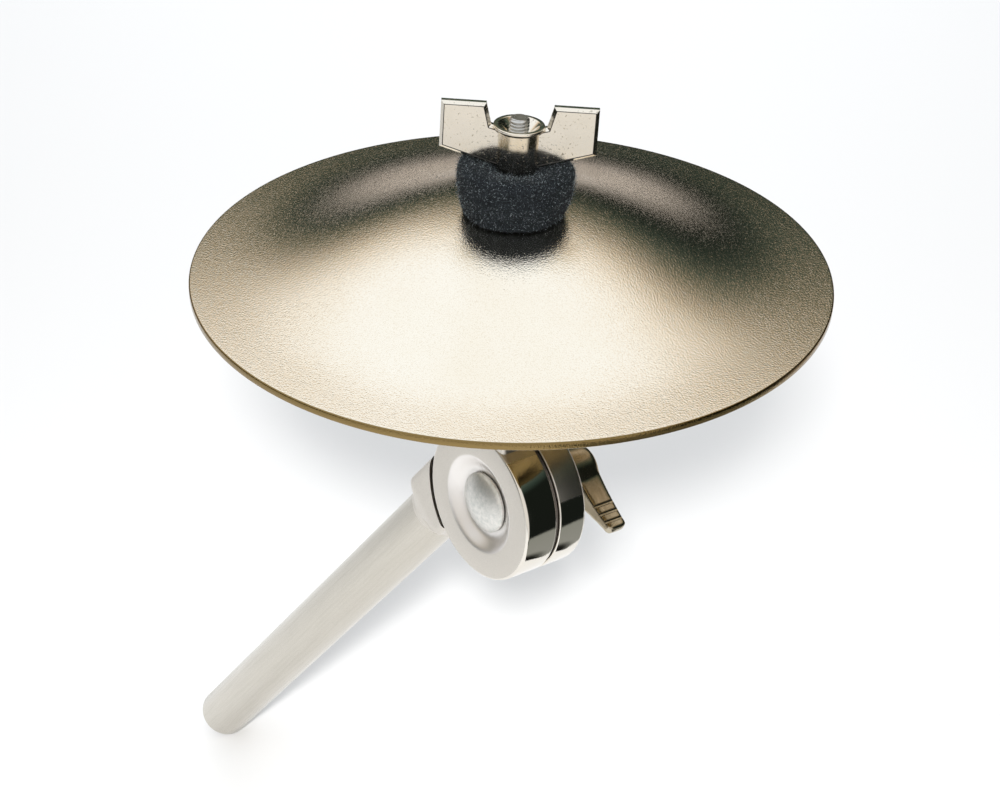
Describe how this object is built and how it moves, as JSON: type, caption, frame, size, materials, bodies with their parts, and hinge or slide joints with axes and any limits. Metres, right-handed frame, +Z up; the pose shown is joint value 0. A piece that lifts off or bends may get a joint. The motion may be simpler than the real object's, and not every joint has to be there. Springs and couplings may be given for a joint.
{
  "type": "ice bell",
  "caption": "Ice bell for percussion: a small thick bronze plate bell between felts on a threaded rod, with a wing nut, a friction tilter and a round arm for a stand's clamp.",
  "frame": {"origin": "centre of the arm tube's lower end, where the arm goes into a stand's clamp", "axes": "+Z up along the bell's own axis, +X to the right and +Y away from the viewer, as the picture shows the object"},
  "size_m": [0.2149, 0.2319, 0.3352],
  "materials": {
    "bell_bronze": "bead-blasted bronze, satin",
    "chrome": "bright chrome plate",
    "satin_chrome": "satin chrome plate",
    "zinc_steel": "zinc-plated turned steel",
    "spring_steel": "dark spring steel",
    "black_felt": "black wool felt, fuzzy",
    "black_nylon": "black nylon",
    "fibre_disc": "dark pressed fibre",
    "bush_brass": "turned brass"
  },
  "bodies": {
    "arm": {"arm_tube": "satin_chrome", "arm_end_plug": "black_nylon", "arm_roll_pin": "spring_steel", "lower_casting": "chrome", "pivot_bush": "bush_brass"},
    "head": {"upper_casting": "chrome", "friction_disc": "fibre_disc", "pivot_bolt": "satin_chrome", "cymbal_rod": "zinc_steel", "rod_lock_nut": "zinc_steel", "seat_washer": "chrome", "rod_sleeve": "black_nylon", "lower_felt": "black_felt"},
    "clamp_washers": {"thrust_washer": "zinc_steel", "wave_washer": "spring_steel"},
    "clamp_wing": {"clamp_wing": "chrome"},
    "bell": {"bell": "bell_bronze"},
    "upper_felt": {"upper_felt": "black_felt"},
    "wing_nut": {"wing_nut": "chrome"}
  },
  "joints": [
    {"name": "tilt", "type": "hinge", "parent": "arm", "child": "head", "pos_m": [0.11189, -0.12749, 0.1948], "axis": [0.7902, 0.6107, -0.0506], "range_deg": [-54, 150]},
    {"name": "clamp_travel", "type": "slide", "parent": "head", "child": "clamp_washers", "axis": [0.7902, 0.6107, -0.0506], "range_m": [0, 0.0025]},
    {"name": "clamp_turn", "type": "hinge", "parent": "clamp_washers", "child": "clamp_wing", "pos_m": [0.12366, -0.11839, 0.19404], "axis": [0.7902, 0.6107, -0.0506], "range_deg": [0, 720]},
    {"name": "wing_nut_travel", "type": "slide", "parent": "head", "child": "upper_felt", "axis": [0.04, 0.0309, 0.9987], "range_m": [0, 0.003]},
    {"name": "wing_nut_turn", "type": "hinge", "parent": "upper_felt", "child": "wing_nut", "pos_m": [0.11212, -0.12731, 0.3221], "axis": [0.04, 0.0309, 0.9987], "range_deg": [0, 1080]},
    {"name": "bell_spin", "type": "hinge", "parent": "head", "child": "bell", "pos_m": [0.11094, -0.12822, 0.29258], "axis": [0, 0, 1], "continuous": true}
  ],
  "couplings": [
    {"joint": "clamp_travel", "follows": "clamp_turn", "m_per_rad": 0.00019894},
    {"joint": "wing_nut_travel", "follows": "wing_nut_turn", "m_per_rad": 0.00015915}
  ]
}
